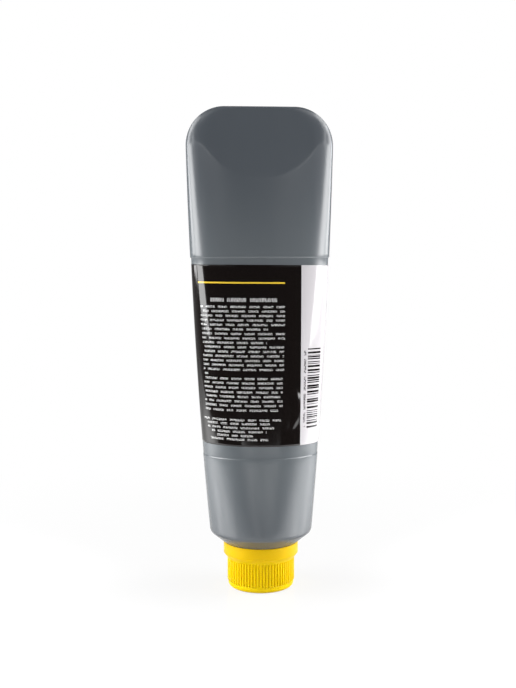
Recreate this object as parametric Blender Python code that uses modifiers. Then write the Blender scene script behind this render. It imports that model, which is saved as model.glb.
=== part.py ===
"""Squeeze tube of graphite grease, standing upside down on its screw cap.

A blow-moulded tube runs from a round shoulder to a flat, wedge-shaped tail. Its neck is closed by a
foil seal and by a ribbed cap with a wad, a film label is wrapped round a shallow panel, and grease
fills the inside up to a headspace at the tail.

Metres, +Z up. The origin is the centre of the cap's flat end, +X runs along the width of the tail
and -Y is the side with the printed back of the label.
"""

import math

import bmesh
import bpy

MM = 0.001

# Fits
CLEARANCE = 0.3 * MM  # gap between pieces that touch or rest on one another
THREAD_ROOM = 1.4 * MM  # space between the neck and the cap for the two threads

# Neck, shoulder and wall of the tube
NECK_RADIUS = 14.2 * MM
NECK_WALL = 2.1 * MM
LIP_CHAMFER = 0.4 * MM
BEAD_DEPTH = 1.2 * MM  # ring round the root of the neck
BEAD_HEIGHT = 1.6 * MM
SHOULDER_SLOPE = math.radians(39.0)
SHOULDER_FILLET = 3.2 * MM
WALL = 0.9 * MM  # at its thinnest, behind the label

# Body of the tube, from the shoulder to the tail
BODY_RADIUS = 26.8 * MM  # the round end at the shoulder
BODY_LENGTH = 218.2 * MM
TAIL_HALF_WIDTH = 38.35 * MM
SIDE_BOW = 2.05 * MM  # how far the sides stand out from straight lines at half length
TAIL_FULLNESS = 2.5  # exponent of the section at the tail, where 2 is an ellipse
TAIL_HALF_THICKNESS = 1.8 * MM
TAIL_CORNER = 20.4 * MM
TAIL_RIM = 5.5 * MM  # how far in from the side the tail's corners begin to thin out
TAIL_RIM_END = 0.15 * MM  # the same at the tail's straight end
TAIL_EDGE_FILLET = 1.4 * MM
FACET_LENGTH = 37.0 * MM  # the flat wedge faces that close the tail
FACET_HALF_DEPTH = 10.0 * MM  # half the depth where those faces begin

# Label and the panel sunk for it
PANEL_START = 39.1 * MM  # above the shoulder
PANEL_LENGTH = 102.4 * MM
PANEL_DEPTH = 0.5 * MM
LABEL_MARGIN_BELOW = 6.9 * MM
LABEL_MARGIN_ABOVE = 4.1 * MM
LABEL_FILM = 0.15 * MM
LABEL_SEAM = math.radians(25.0)  # behind the +X edge
LABEL_SEAM_GAP = 0.6 * MM

# Grease, foil and wad
HEADSPACE = 14.0 * MM
FOIL = 0.2 * MM
WAD = 1.0 * MM

# Screw cap
CAP_END = 1.6 * MM
CAP_WALL = 1.6 * MM
CAP_END_FILLET = 2.4 * MM
BARREL_HEIGHT = 15.2 * MM
FLARE_HEIGHT = 3.1 * MM
FLARE_WIDTH = 2.4 * MM
SKIRT_HEIGHT = 5.4 * MM
SKIRT_LAND = 0.5 * MM  # flat top of the skirt, outside its bevel
SKIRT_EDGE = 0.25 * MM
RIB_COUNT = 68
RIB_HEIGHT = 0.45 * MM
RIB_WIDTH = 1.0 * MM
RIB_CREST = 0.6 * MM
RIB_START = 3.4 * MM
RIB_ROOT = 0.4 * MM  # how far a rib is sunk into the barrel

# Mesh resolution
TUBE_SEGMENTS = 48
CAP_SEGMENTS = 68
DISC_SEGMENTS = 48
FILLET_STEPS = 4
CORNER_STEPS = 8

# Levels and radii that follow from the driving dimensions
CAP_BORE = NECK_RADIUS + THREAD_ROOM
BARREL_RADIUS = CAP_BORE + CAP_WALL
SKIRT_RADIUS = BARREL_RADIUS + FLARE_WIDTH
SKIRT_BORE = SKIRT_RADIUS - CAP_WALL
CAP_HEIGHT = BARREL_HEIGHT + FLARE_HEIGHT + SKIRT_HEIGHT
WAD_Z = CAP_END + CLEARANCE
FOIL_Z = WAD_Z + WAD + CLEARANCE
LIP_Z = FOIL_Z + FOIL + CLEARANCE
CAVITY_INSET = PANEL_DEPTH + WALL
MOUTH_RADIUS = NECK_RADIUS - NECK_WALL


def shoulder_z(radius):
    """Height of the shoulder's cone, which clears the bevelled top of the cap's skirt."""
    seat = CAP_HEIGHT + CLEARANCE / math.cos(SHOULDER_SLOPE)
    return seat + (radius - SKIRT_RADIUS + SKIRT_LAND) * math.tan(SHOULDER_SLOPE)


def shoulder_top():
    """Height where the shoulder's fillet runs into the side of the body."""
    tangent = BODY_RADIUS - SHOULDER_FILLET * (1 - math.sin(SHOULDER_SLOPE))
    return shoulder_z(tangent) + SHOULDER_FILLET * math.cos(SHOULDER_SLOPE)


BODY_Z = shoulder_top()
TAIL_Z = BODY_Z + BODY_LENGTH
FACET_Z = TAIL_Z - FACET_LENGTH
CORNER_Z = TAIL_Z - TAIL_CORNER
PANEL_Z = BODY_Z + PANEL_START
PANEL_TOP_Z = PANEL_Z + PANEL_LENGTH


def clear_scene():
    for item in list(bpy.data.objects):
        bpy.data.objects.remove(item, do_unlink=True)


def new_collection(name):
    collection = bpy.data.collections.new(name)
    bpy.context.scene.collection.children.link(collection)
    return collection


def finish_material(name, colour, roughness, metallic=0.0):
    material = bpy.data.materials.new(name)
    material.use_nodes = True
    shader = material.node_tree.nodes["Principled BSDF"]
    shader.inputs["Base Color"].default_value = (*colour, 1.0)
    shader.inputs["Roughness"].default_value = roughness
    shader.inputs["Metallic"].default_value = metallic
    return material


def add_object(name, bm, collection, material=None, crease=math.radians(35.0)):
    """Turn a bmesh into a smooth-shaded object of the collection."""
    mesh = bpy.data.meshes.new(name)
    bm.to_mesh(mesh)
    bm.free()
    mesh.shade_smooth()
    mesh.set_sharp_from_angle(angle=crease)
    if material:
        mesh.materials.append(material)
    item = bpy.data.objects.new(name, mesh)
    collection.objects.link(item)
    return item


def levels(start, end, steps):
    """Evenly spaced heights from start to end, both included."""
    return [start + (end - start) * step / steps for step in range(steps + 1)]


def full_turn(segments):
    return [2 * math.pi * step / segments for step in range(segments)]


def signed_power(value, exponent):
    return math.copysign(abs(value) ** exponent, value)


def round_ring(radius, z, angles):
    return [(radius * math.cos(a), radius * math.sin(a), z) for a in angles]


def corner_upright(z, inset):
    """How upright the side stands at this height: 1 below the tail's corners and 0 at its end."""
    reach = max(z - CORNER_Z, 0.0) / (TAIL_CORNER - inset)
    return math.sqrt(max(1 - reach**2, 0.0))


def edge_drop(z, inset):
    """How far the rounded tail edge draws in the two faces at this height."""
    radius = max(TAIL_EDGE_FILLET - inset, 0.0)
    reach = min(max(z - TAIL_Z + TAIL_EDGE_FILLET, 0.0), radius)
    return radius - math.sqrt(radius**2 - reach**2)


def body_ring(z, inset, angles):
    """Section of the body, moved in by inset: a superellipse cut flat by the tail's two facets.

    The half width is a straight taper with a bow, the half depth a straight taper that the steeper
    facets cut into near the tail. Round the tail's corners the facets fall off to the rim in an arc.
    """
    share = (z - BODY_Z) / BODY_LENGTH
    width = BODY_RADIUS + (TAIL_HALF_WIDTH - BODY_RADIUS) * share + 4 * SIDE_BOW * share * (1 - share)
    upright = corner_upright(z, inset)
    width -= inset + (TAIL_CORNER - inset) * (1 - upright)
    crown_slope = (FACET_HALF_DEPTH - BODY_RADIUS) / (FACET_Z - BODY_Z)
    crown = BODY_RADIUS + crown_slope * (z - BODY_Z) - inset
    facet_slope = (TAIL_HALF_THICKNESS - FACET_HALF_DEPTH) / FACET_LENGTH
    facet = FACET_HALF_DEPTH + facet_slope * (z - FACET_Z) - inset - edge_drop(z, inset)
    power = 2 / (2 + (TAIL_FULLNESS - 2) * share)
    rim = TAIL_RIM * upright + TAIL_RIM_END
    ring = []
    for angle in angles:
        x = width * signed_power(math.cos(angle), power)
        y = crown * signed_power(math.sin(angle), power)
        from_edge = min((upright * (width - abs(x)) + TAIL_RIM_END) / rim, 1.0)
        limit = facet * math.sqrt(from_edge * (2 - from_edge))
        ring.append((x, max(-limit, min(limit, y)), z))
    return ring


def shoulder_fillet(inset):
    """Radius and height of each step round the shoulder's fillet, from the cone to the side."""
    radius = SHOULDER_FILLET - inset
    centre = BODY_RADIUS - SHOULDER_FILLET
    steps = levels(math.pi / 2 - SHOULDER_SLOPE, 0.0, FILLET_STEPS)
    return [(centre + radius * math.cos(a), BODY_Z - radius * math.sin(a)) for a in steps[:-1]]


def tail_levels(inset):
    """Heights of the body from the facets to the end, close together round the corners."""
    turns = levels(0.0, math.pi / 2, CORNER_STEPS)
    return levels(FACET_Z, CORNER_Z, 4)[:-1] + [CORNER_Z + (TAIL_CORNER - inset) * math.sin(a) for a in turns]


def outer_rings(angles):
    root = shoulder_z(NECK_RADIUS)
    bead = root - BEAD_HEIGHT - BEAD_DEPTH
    neck = [
        (NECK_RADIUS - LIP_CHAMFER, LIP_Z),
        (NECK_RADIUS, LIP_Z + LIP_CHAMFER),
        (NECK_RADIUS, bead - BEAD_DEPTH),
        (NECK_RADIUS + BEAD_DEPTH, bead),
        (NECK_RADIUS + BEAD_DEPTH, bead + BEAD_HEIGHT),
        (NECK_RADIUS, root),
    ]
    rings = [round_ring(radius, z, angles) for radius, z in neck + shoulder_fillet(0.0)]
    rings += [body_ring(z, 0.0, angles) for z in levels(BODY_Z, PANEL_Z, 2)]
    panel = levels(PANEL_Z + PANEL_DEPTH, PANEL_TOP_Z - PANEL_DEPTH, 4)
    rings += [body_ring(z, PANEL_DEPTH, angles) for z in panel]
    rings += [body_ring(z, 0.0, angles) for z in levels(PANEL_TOP_Z, FACET_Z, 2)[:-1]]
    return rings + [body_ring(z, 0.0, angles) for z in tail_levels(0.0)]


def cavity_rings(inset, mouth_radius, angles):
    """Sections of the inside, from the lip to the shoulder and on to the facets."""
    throat = shoulder_z(mouth_radius) + inset / math.cos(SHOULDER_SLOPE)
    turned = [(mouth_radius, LIP_Z), (mouth_radius, throat)] + shoulder_fillet(inset)
    rings = [round_ring(radius, z, angles) for radius, z in turned]
    return rings + [body_ring(z, inset, angles) for z in levels(BODY_Z, FACET_Z, 6)[:-1]]


def skin(bm, rings):
    """Loft a band of quads through the rings and return its first and last loops of vertices."""
    loops = [[bm.verts.new(point) for point in ring] for ring in rings]
    for lower, upper in zip(loops, loops[1:]):
        corners = zip(lower, lower[1:] + lower[:1], upper[1:] + upper[:1], upper)
        for quad in corners:
            bm.faces.new(quad)
    return loops[0], loops[-1]


def close_shell(bm):
    bmesh.ops.recalc_face_normals(bm, faces=bm.faces)
    return bm


def build_tube_body(collection):
    """One moulded shell: outer skin, inner skin and the lip of the mouth that joins them."""
    angles = full_turn(TUBE_SEGMENTS)
    bm = bmesh.new()
    outer_lip, outer_tail = skin(bm, outer_rings(angles))
    inside = cavity_rings(CAVITY_INSET, MOUTH_RADIUS, angles)
    inside += [body_ring(z, CAVITY_INSET, angles) for z in tail_levels(CAVITY_INSET)]
    inner_lip, inner_tail = skin(bm, inside)
    bm.faces.new(outer_tail)
    bm.faces.new(inner_tail)
    for quad in zip(outer_lip, outer_lip[1:] + outer_lip[:1], inner_lip[1:] + inner_lip[:1], inner_lip):
        bm.faces.new(quad)
    grey = finish_material("grey_hdpe", (0.115, 0.128, 0.141), 0.32)
    return add_object("tube_body", close_shell(bm), collection, grey)


def build_grease_fill(collection):
    """The grease that fills the inside from the foil up to the headspace."""
    angles = full_turn(TUBE_SEGMENTS)
    inset = CAVITY_INSET + CLEARANCE
    surface = TAIL_Z - CAVITY_INSET - HEADSPACE
    rings = cavity_rings(inset, MOUTH_RADIUS - CLEARANCE, angles)
    rings += [body_ring(z, inset, angles) for z in tail_levels(inset) if z < surface - CLEARANCE]
    rings.append(body_ring(surface, inset, angles))
    bm = bmesh.new()
    for end in skin(bm, rings):
        bm.faces.new(end)
    graphite = finish_material("graphite_grease", (0.013, 0.013, 0.014), 0.35)
    return add_object("grease_fill", close_shell(bm), collection, graphite)


def build_wrap_label(collection):
    """A strip of film wrapped round the sunk panel, with its two ends facing at the seam."""
    half_gap = LABEL_SEAM_GAP / (2 * BODY_RADIUS)
    start = LABEL_SEAM + half_gap
    end = LABEL_SEAM + 2 * math.pi - half_gap
    angles = levels(start, end, TUBE_SEGMENTS)
    heights = levels(PANEL_Z + LABEL_MARGIN_BELOW, PANEL_TOP_Z - LABEL_MARGIN_ABOVE, 4)
    bm = bmesh.new()
    rows = [[bm.verts.new(p) for p in body_ring(z, PANEL_DEPTH - CLEARANCE, angles)] for z in heights]
    for lower, upper in zip(rows, rows[1:]):
        for quad in zip(lower, lower[1:], upper[1:], upper):
            bm.faces.new(quad)
    black = finish_material("printed_film", (0.008, 0.007, 0.008), 0.18)
    label = add_object("wrap_label", bm, collection, black)
    film = label.modifiers.new("film", "SOLIDIFY")
    film.thickness = LABEL_FILM
    film.offset = 1.0
    return label


def build_disc(name, radius, z, thickness, collection, material):
    bm = bmesh.new()
    bmesh.ops.create_cone(
        bm, cap_ends=True, segments=DISC_SEGMENTS, radius1=radius, radius2=radius, depth=thickness
    )
    bmesh.ops.translate(bm, verts=bm.verts, vec=(0.0, 0.0, z + thickness / 2))
    return add_object(name, bm, collection, material)


def build_foil_seal(collection):
    """The foil welded across the lip of the mouth."""
    silver = finish_material("seal_foil", (0.80, 0.80, 0.80), 0.25, metallic=1.0)
    return build_disc("foil_seal", NECK_RADIUS - LIP_CHAMFER, FOIL_Z, FOIL, collection, silver)


def build_cap_wad(collection):
    """The soft disc that the cap presses on the mouth."""
    foam = finish_material("foamed_pe", (0.82, 0.81, 0.78), 0.8)
    return build_disc("cap_wad", CAP_BORE - CLEARANCE, WAD_Z, WAD, collection, foam)


def cap_profile():
    """Radius and height along the cap's wall: up the inside, over the skirt and down the outside."""
    flare_turn = math.atan2(FLARE_WIDTH, FLARE_HEIGHT)
    wall_shift = CAP_WALL * math.tan(flare_turn / 2)
    bevel = (CAP_WALL - SKIRT_LAND) * math.tan(SHOULDER_SLOPE)
    inside = [
        (0.0, CAP_END),
        (CAP_BORE, CAP_END),
        (CAP_BORE, BARREL_HEIGHT + wall_shift),
        (SKIRT_BORE, BARREL_HEIGHT + FLARE_HEIGHT + wall_shift),
        (SKIRT_BORE, CAP_HEIGHT - bevel),
    ]
    outside = [
        (SKIRT_RADIUS - SKIRT_LAND, CAP_HEIGHT),
        (SKIRT_RADIUS - SKIRT_EDGE, CAP_HEIGHT),
        (SKIRT_RADIUS, CAP_HEIGHT - SKIRT_EDGE),
        (SKIRT_RADIUS, BARREL_HEIGHT + FLARE_HEIGHT),
        (BARREL_RADIUS, BARREL_HEIGHT),
    ]
    centre = BARREL_RADIUS - CAP_END_FILLET
    fillet = [
        (centre + CAP_END_FILLET * math.cos(a), CAP_END_FILLET - CAP_END_FILLET * math.sin(a))
        for a in levels(0.0, math.pi / 2, FILLET_STEPS)
    ]
    return inside + outside + fillet + [(0.0, 0.0)]


def build_cap_ribs(cutters):
    """The grip ribs: tapered bars round the barrel, sunk into it and into the flare above."""
    crest = BARREL_RADIUS + RIB_HEIGHT
    root = BARREL_RADIUS - RIB_ROOT
    top = BARREL_HEIGHT + FLARE_HEIGHT * (RIB_HEIGHT + RIB_ROOT) / FLARE_WIDTH
    bm = bmesh.new()
    for angle in full_turn(RIB_COUNT):
        bar = bmesh.ops.create_cube(bm, size=1.0)["verts"]
        for vert in bar:
            outer = vert.co.x > 0
            radius = crest if outer else root
            side = (RIB_CREST if outer else RIB_WIDTH) * vert.co.y
            drop = RIB_HEIGHT if outer and vert.co.z < 0 else 0.0
            z = top if vert.co.z > 0 else RIB_START + drop
            vert.co = (
                radius * math.cos(angle) - side * math.sin(angle),
                radius * math.sin(angle) + side * math.cos(angle),
                z,
            )
    ribs = add_object("rib_bars", bm, cutters)
    ribs.hide_render = True
    ribs.display_type = "WIRE"
    return ribs


def build_screw_cap(collection, cutters):
    """A turned cup with a flared skirt, joined with its grip ribs."""
    bm = bmesh.new()
    points = [bm.verts.new((radius, 0.0, z)) for radius, z in cap_profile()]
    for pair in zip(points, points[1:]):
        bm.edges.new(pair)
    yellow = finish_material("yellow_pp", (0.83, 0.57, 0.01), 0.35)
    cap = add_object("screw_cap", bm, collection, yellow)
    turn = cap.modifiers.new("turn", "SCREW")
    turn.steps = CAP_SEGMENTS
    turn.render_steps = CAP_SEGMENTS
    turn.use_merge_vertices = True
    turn.merge_threshold = 0.00001
    grip = cap.modifiers.new("grip", "BOOLEAN")
    grip.operation = "UNION"
    grip.solver = "EXACT"
    grip.object = build_cap_ribs(cutters)
    return cap


def main():
    clear_scene()
    parts = new_collection("grease_tube")
    cutters = new_collection("cutters")
    build_tube_body(parts)
    build_grease_fill(parts)
    build_wrap_label(parts)
    build_foil_seal(parts)
    cap_axis = bpy.data.objects.new("cap_axis", None)
    parts.objects.link(cap_axis)
    build_cap_wad(parts).parent = cap_axis
    build_screw_cap(parts, cutters).parent = cap_axis


main()
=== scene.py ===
"""Squeeze tube of graphite grease, standing upside down on its screw cap, in a white studio.

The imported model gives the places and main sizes. Fine surfaces stand for its six solids: the moulded
tube with its threaded neck, the wrapped film label, the ribbed cap, its wad, the foil and the grease.
Lengths are metres, written as millimetres times MM; +Z is up and -Y is the side towards the camera.
"""

import logging
import math
from collections.abc import Callable
from dataclasses import dataclass
from enum import Enum
from functools import partial

import bmesh
import bpy
import numpy as np
from bpy.types import Material, Node, NodeSocket, NodeTree, Object
from mathutils import Euler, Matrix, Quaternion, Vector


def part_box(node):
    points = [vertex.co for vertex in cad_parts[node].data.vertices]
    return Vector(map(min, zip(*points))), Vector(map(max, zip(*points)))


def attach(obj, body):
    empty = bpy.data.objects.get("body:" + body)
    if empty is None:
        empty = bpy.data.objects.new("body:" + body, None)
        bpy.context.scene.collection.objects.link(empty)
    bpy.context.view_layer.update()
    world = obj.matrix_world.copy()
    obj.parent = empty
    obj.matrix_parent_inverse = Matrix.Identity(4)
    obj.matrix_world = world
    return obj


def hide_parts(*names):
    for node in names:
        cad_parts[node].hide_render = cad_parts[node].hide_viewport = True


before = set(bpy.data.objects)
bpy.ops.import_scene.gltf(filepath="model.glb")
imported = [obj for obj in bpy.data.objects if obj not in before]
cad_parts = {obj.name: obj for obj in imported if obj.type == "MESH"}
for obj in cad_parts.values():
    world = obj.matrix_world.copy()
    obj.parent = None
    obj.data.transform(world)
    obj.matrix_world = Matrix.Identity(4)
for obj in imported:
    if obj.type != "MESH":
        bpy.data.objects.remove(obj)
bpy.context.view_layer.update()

LOG = logging.getLogger("grease_tube")
MM = 0.001
TURN = 2.0 * math.pi
IMAGE_WIDTH = 516
IMAGE_HEIGHT = 688
WELD_DISTANCE = 0.0001 * MM
# Angle of -Y, where the middle of the label's back is.
BACK_ANGLE = 1.5 * math.pi
# Digits kept of sines and cosines, so that the axes are met exactly.
ANGLE_DIGITS = 12
# Range in which nearly all values of a noise texture lie.
NOISE_RANGE = (0.3, 0.7)
# The Mix node's inputs between its factor and its colours, left as they are, and its colour output.
MIX_SKIP = (None,) * 5
MIX_COLOUR = 2
SMOOTH = {"interpolation_type": "SMOOTHSTEP"}

Span = tuple[float, float]
Axes = tuple[NodeSocket, NodeSocket]
Adder = Callable[..., Node]


class Body(Enum):
    """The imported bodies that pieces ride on."""

    TUBE = "tube"
    WAD = "wad"
    CAP = "cap"


class Slot(Enum):
    """The record's material slots."""

    TUBE = "grey_hdpe"
    LABEL = "printed_film"
    CAP = "yellow_pp"
    WAD = "foamed_pe"
    FOIL = "seal_foil"
    GREASE = "graphite_grease"


def linear(code: str) -> tuple[float, float, float, float]:
    """Turn an sRGB hex colour into linear light.

    Args:
        code: Colour such as "#5c6268".

    Returns:
        Linear red, green, blue and an alpha of one.
    """
    shares = [int(code[place:place + 2], 16) / 255.0 for place in (1, 3, 5)]
    values = [s / 12.92 if s <= 0.04045 else ((s + 0.055) / 1.055) ** 2.4 for s in shares]
    return (values[0], values[1], values[2], 1.0)


def smooth_step(value: np.ndarray, start: float, end: float) -> np.ndarray:
    """Rise from 0 at start to 1 at end, level at both, as 3 s squared minus 2 s cubed."""
    share = np.clip((value - start) / (end - start), 0.0, 1.0)
    return share * share * (3.0 - 2.0 * share)


def soft_min(first: np.ndarray, second: np.ndarray, blend: float) -> np.ndarray:
    """Take the lesser of two surfaces, rounded where they cross.

    Args:
        first: Heights of the first surface.
        second: Heights of the second surface.
        blend: Difference of heights within which the crossing is rounded.

    Returns:
        The mix of both by the share s that the first one has, less blend times s (1 - s).
    """
    share = np.clip(0.5 + 0.5 * (second - first) / blend, 0.0, 1.0)
    return second + (first - second) * share - blend * share * (1.0 - share)


def column(values: list[float] | np.ndarray) -> np.ndarray:
    """Stand values up as the rows of a grid."""
    return np.asarray(values, dtype=float)[:, None]


def even_angles(columns: int) -> np.ndarray:
    """Angles of columns that stand evenly round the axis."""
    return np.arange(columns) * TURN / columns


def turned(radius: np.ndarray, z: np.ndarray, angles: np.ndarray) -> np.ndarray:
    """Carry radii round the Z axis: x = r cos a, y = r sin a.

    Args:
        radius: Radii, by row or by row and column.
        z: Heights, by row.
        angles: Angles, by column.

    Returns:
        Points by row and column.
    """
    radius, z, angles = np.broadcast_arrays(radius, z, angles)
    return np.stack([radius * np.cos(angles), radius * np.sin(angles), z], axis=-1)


def arc(centre: tuple[float, float], radius: float, start: float, end: float, steps: int) -> np.ndarray:
    """Points of radius and height on a round corner of a profile.

    Args:
        centre: Radius and height of the corner's centre.
        radius: Radius of the corner.
        start: First angle in degrees, from the outward direction towards +Z.
        end: Last angle in degrees.
        steps: Number of points.

    Returns:
        One row of radius and height per point.
    """
    angles = np.radians(np.linspace(start, end, steps))
    return np.stack([centre[0] + radius * np.cos(angles), centre[1] + radius * np.sin(angles)], axis=-1)


def run(start: tuple[float, float], end: tuple[float, float], steps: int) -> np.ndarray:
    """Evenly spaced points of radius and height on a straight stretch of a profile."""
    return np.linspace(start, end, steps)


def grid_object(name: str, grid: np.ndarray, wrap: bool, crease: float, chart: np.ndarray | None = None,
                chart_name: str = "chart") -> Object:
    """Make an object of the quads between the points of a grid.

    Points that coincide, as at a pole or along a closing line, are welded, and the faces of a closed
    skin are turned outwards, so that it holds a volume above nought.

    Args:
        name: Name of the piece.
        grid: Points by row and column.
        wrap: Whether the last column joins the first.
        crease: Angle in degrees past which an edge is shaded sharp.
        chart: Flat coordinates by row and column, if the piece carries a pattern of its own.
        chart_name: Name of the UV map that holds them.

    Returns:
        The new object, at the origin.
    """
    rows, columns = grid.shape[:2]
    row = np.arange(rows - 1)[:, None]
    left = np.arange(columns if wrap else columns - 1)[None, :]
    right = (left + 1) % columns
    below, above = row * columns, (row + 1) * columns
    corners = np.broadcast_arrays(below + left, below + right, above + right, above + left)
    quads = np.stack(corners, axis=-1).reshape(-1, 4)

    mesh = bpy.data.meshes.new(name)
    mesh.from_pydata(grid.reshape(-1, 3).tolist(), [], quads.tolist())
    if chart is not None:
        layer = mesh.uv_layers.new(name=chart_name)
        layer.uv.foreach_set("vector", chart.reshape(-1, 2)[quads.ravel()].astype(np.float32).ravel())
    solid = bmesh.new()
    solid.from_mesh(mesh)
    bmesh.ops.remove_doubles(solid, verts=solid.verts, dist=WELD_DISTANCE)
    if wrap:
        bmesh.ops.recalc_face_normals(solid, faces=solid.faces)
        if solid.calc_volume(signed=True) < 0.0:
            bmesh.ops.reverse_faces(solid, faces=solid.faces)
    solid.to_mesh(mesh)
    solid.free()
    mesh.shade_smooth()
    mesh.set_sharp_from_angle(angle=math.radians(crease))
    piece = bpy.data.objects.new(name, mesh)
    bpy.context.scene.collection.objects.link(piece)
    return piece


def seat(piece: Object, body: Body, node: str, finish: Material) -> None:
    """Dress a piece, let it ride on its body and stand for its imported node.

    Args:
        piece: The finished object.
        body: Body that carries it.
        node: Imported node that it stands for.
        finish: Its material.
    """
    piece.data.materials.append(finish)
    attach(piece, body.value)
    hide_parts(node)
    LOG.info("%s: %d faces, on %s, for %s", piece.name, len(piece.data.polygons), body.value, node)


def add_node(tree: NodeTree, kind: str, *values: object, **named: object) -> Node:
    """Add a shader node with its inputs and settings.

    An input is a value, an output socket to link, or a node whose first output is linked.

    Args:
        tree: Node tree of a material or world.
        kind: Node type, without its ShaderNode prefix.
        *values: Inputs from the first one on, with None for one that stays as it is.
        **named: Inputs by name, with _ for each space, and settings, whose names start in lower case.

    Returns:
        The new node.
    """
    node = tree.nodes.new("ShaderNode" + kind)
    inputs = dict(enumerate(values))
    for name, value in named.items():
        if name[0].isupper():
            inputs[name.replace("_", " ")] = value
        else:
            setattr(node, name, value)
    for socket, value in inputs.items():
        if isinstance(value, Node):
            value = value.outputs[0]
        if isinstance(value, NodeSocket):
            tree.links.new(value, node.inputs[socket])
        elif value is not None:
            node.inputs[socket].default_value = value
    return node


def start_material(name: str) -> tuple[Material, Adder]:
    """Begin a material that has no nodes yet.

    Args:
        name: Name of the real material.

    Returns:
        The material and what adds nodes to it.
    """
    material = bpy.data.materials.new(name)
    material.use_nodes = True
    material.node_tree.nodes.clear()
    return material, partial(add_node, material.node_tree)


def end_material(material: Material, relief: Node, height: float, **inputs: object) -> Material:
    """Close a material with a relief and one Principled shader.

    Args:
        material: The begun material.
        relief: Pattern that raises the surface.
        height: Height of the relief.
        **inputs: The shader's other inputs, as add_node takes them.

    Returns:
        The material.
    """
    add = partial(add_node, material.node_tree)
    bump = add("Bump", Height=relief, Distance=height)
    add("OutputMaterial", Surface=add("BsdfPrincipled", Normal=bump, **inputs))
    return material


@dataclass(frozen=True)
class Thread:
    """A right-handed ridge with sloping flanks, wound on the neck or in the bore of the cap."""

    pitch: float = 4.0 * MM
    height: float = 1.0 * MM
    root: float = 1.7 * MM
    crest: float = 0.7 * MM
    lead_in: float = 0.35 * MM

    def ridge(self, z: np.ndarray, angles: np.ndarray, start: float, end: float,
              offset: float) -> np.ndarray:
        """Height of the ridge over the plain wall.

        The middle of the ridge climbs one pitch in each turn. Across it the height is a trapezium,
        and along it the height rises from nothing at start and dies out at end.

        Args:
            z: Heights, by row.
            angles: Angles, by column.
            start: Height where the ridge begins.
            end: Height where it ends.
            offset: Share of a pitch by which the whole ridge is raised.

        Returns:
            Heights of the ridge by row and column.
        """
        climb = start + self.pitch * (angles / TURN + offset)
        turns = np.round((z - climb) / self.pitch)
        middle = climb + turns * self.pitch
        flank = np.clip((self.root / 2 - np.abs(z - middle)) / ((self.root - self.crest) / 2), 0.0, 1.0)
        ends = smooth_step(middle, start, start + self.lead_in)
        ends = ends * (1.0 - smooth_step(middle, end - self.lead_in, end))
        return self.height * flank * ends


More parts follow.
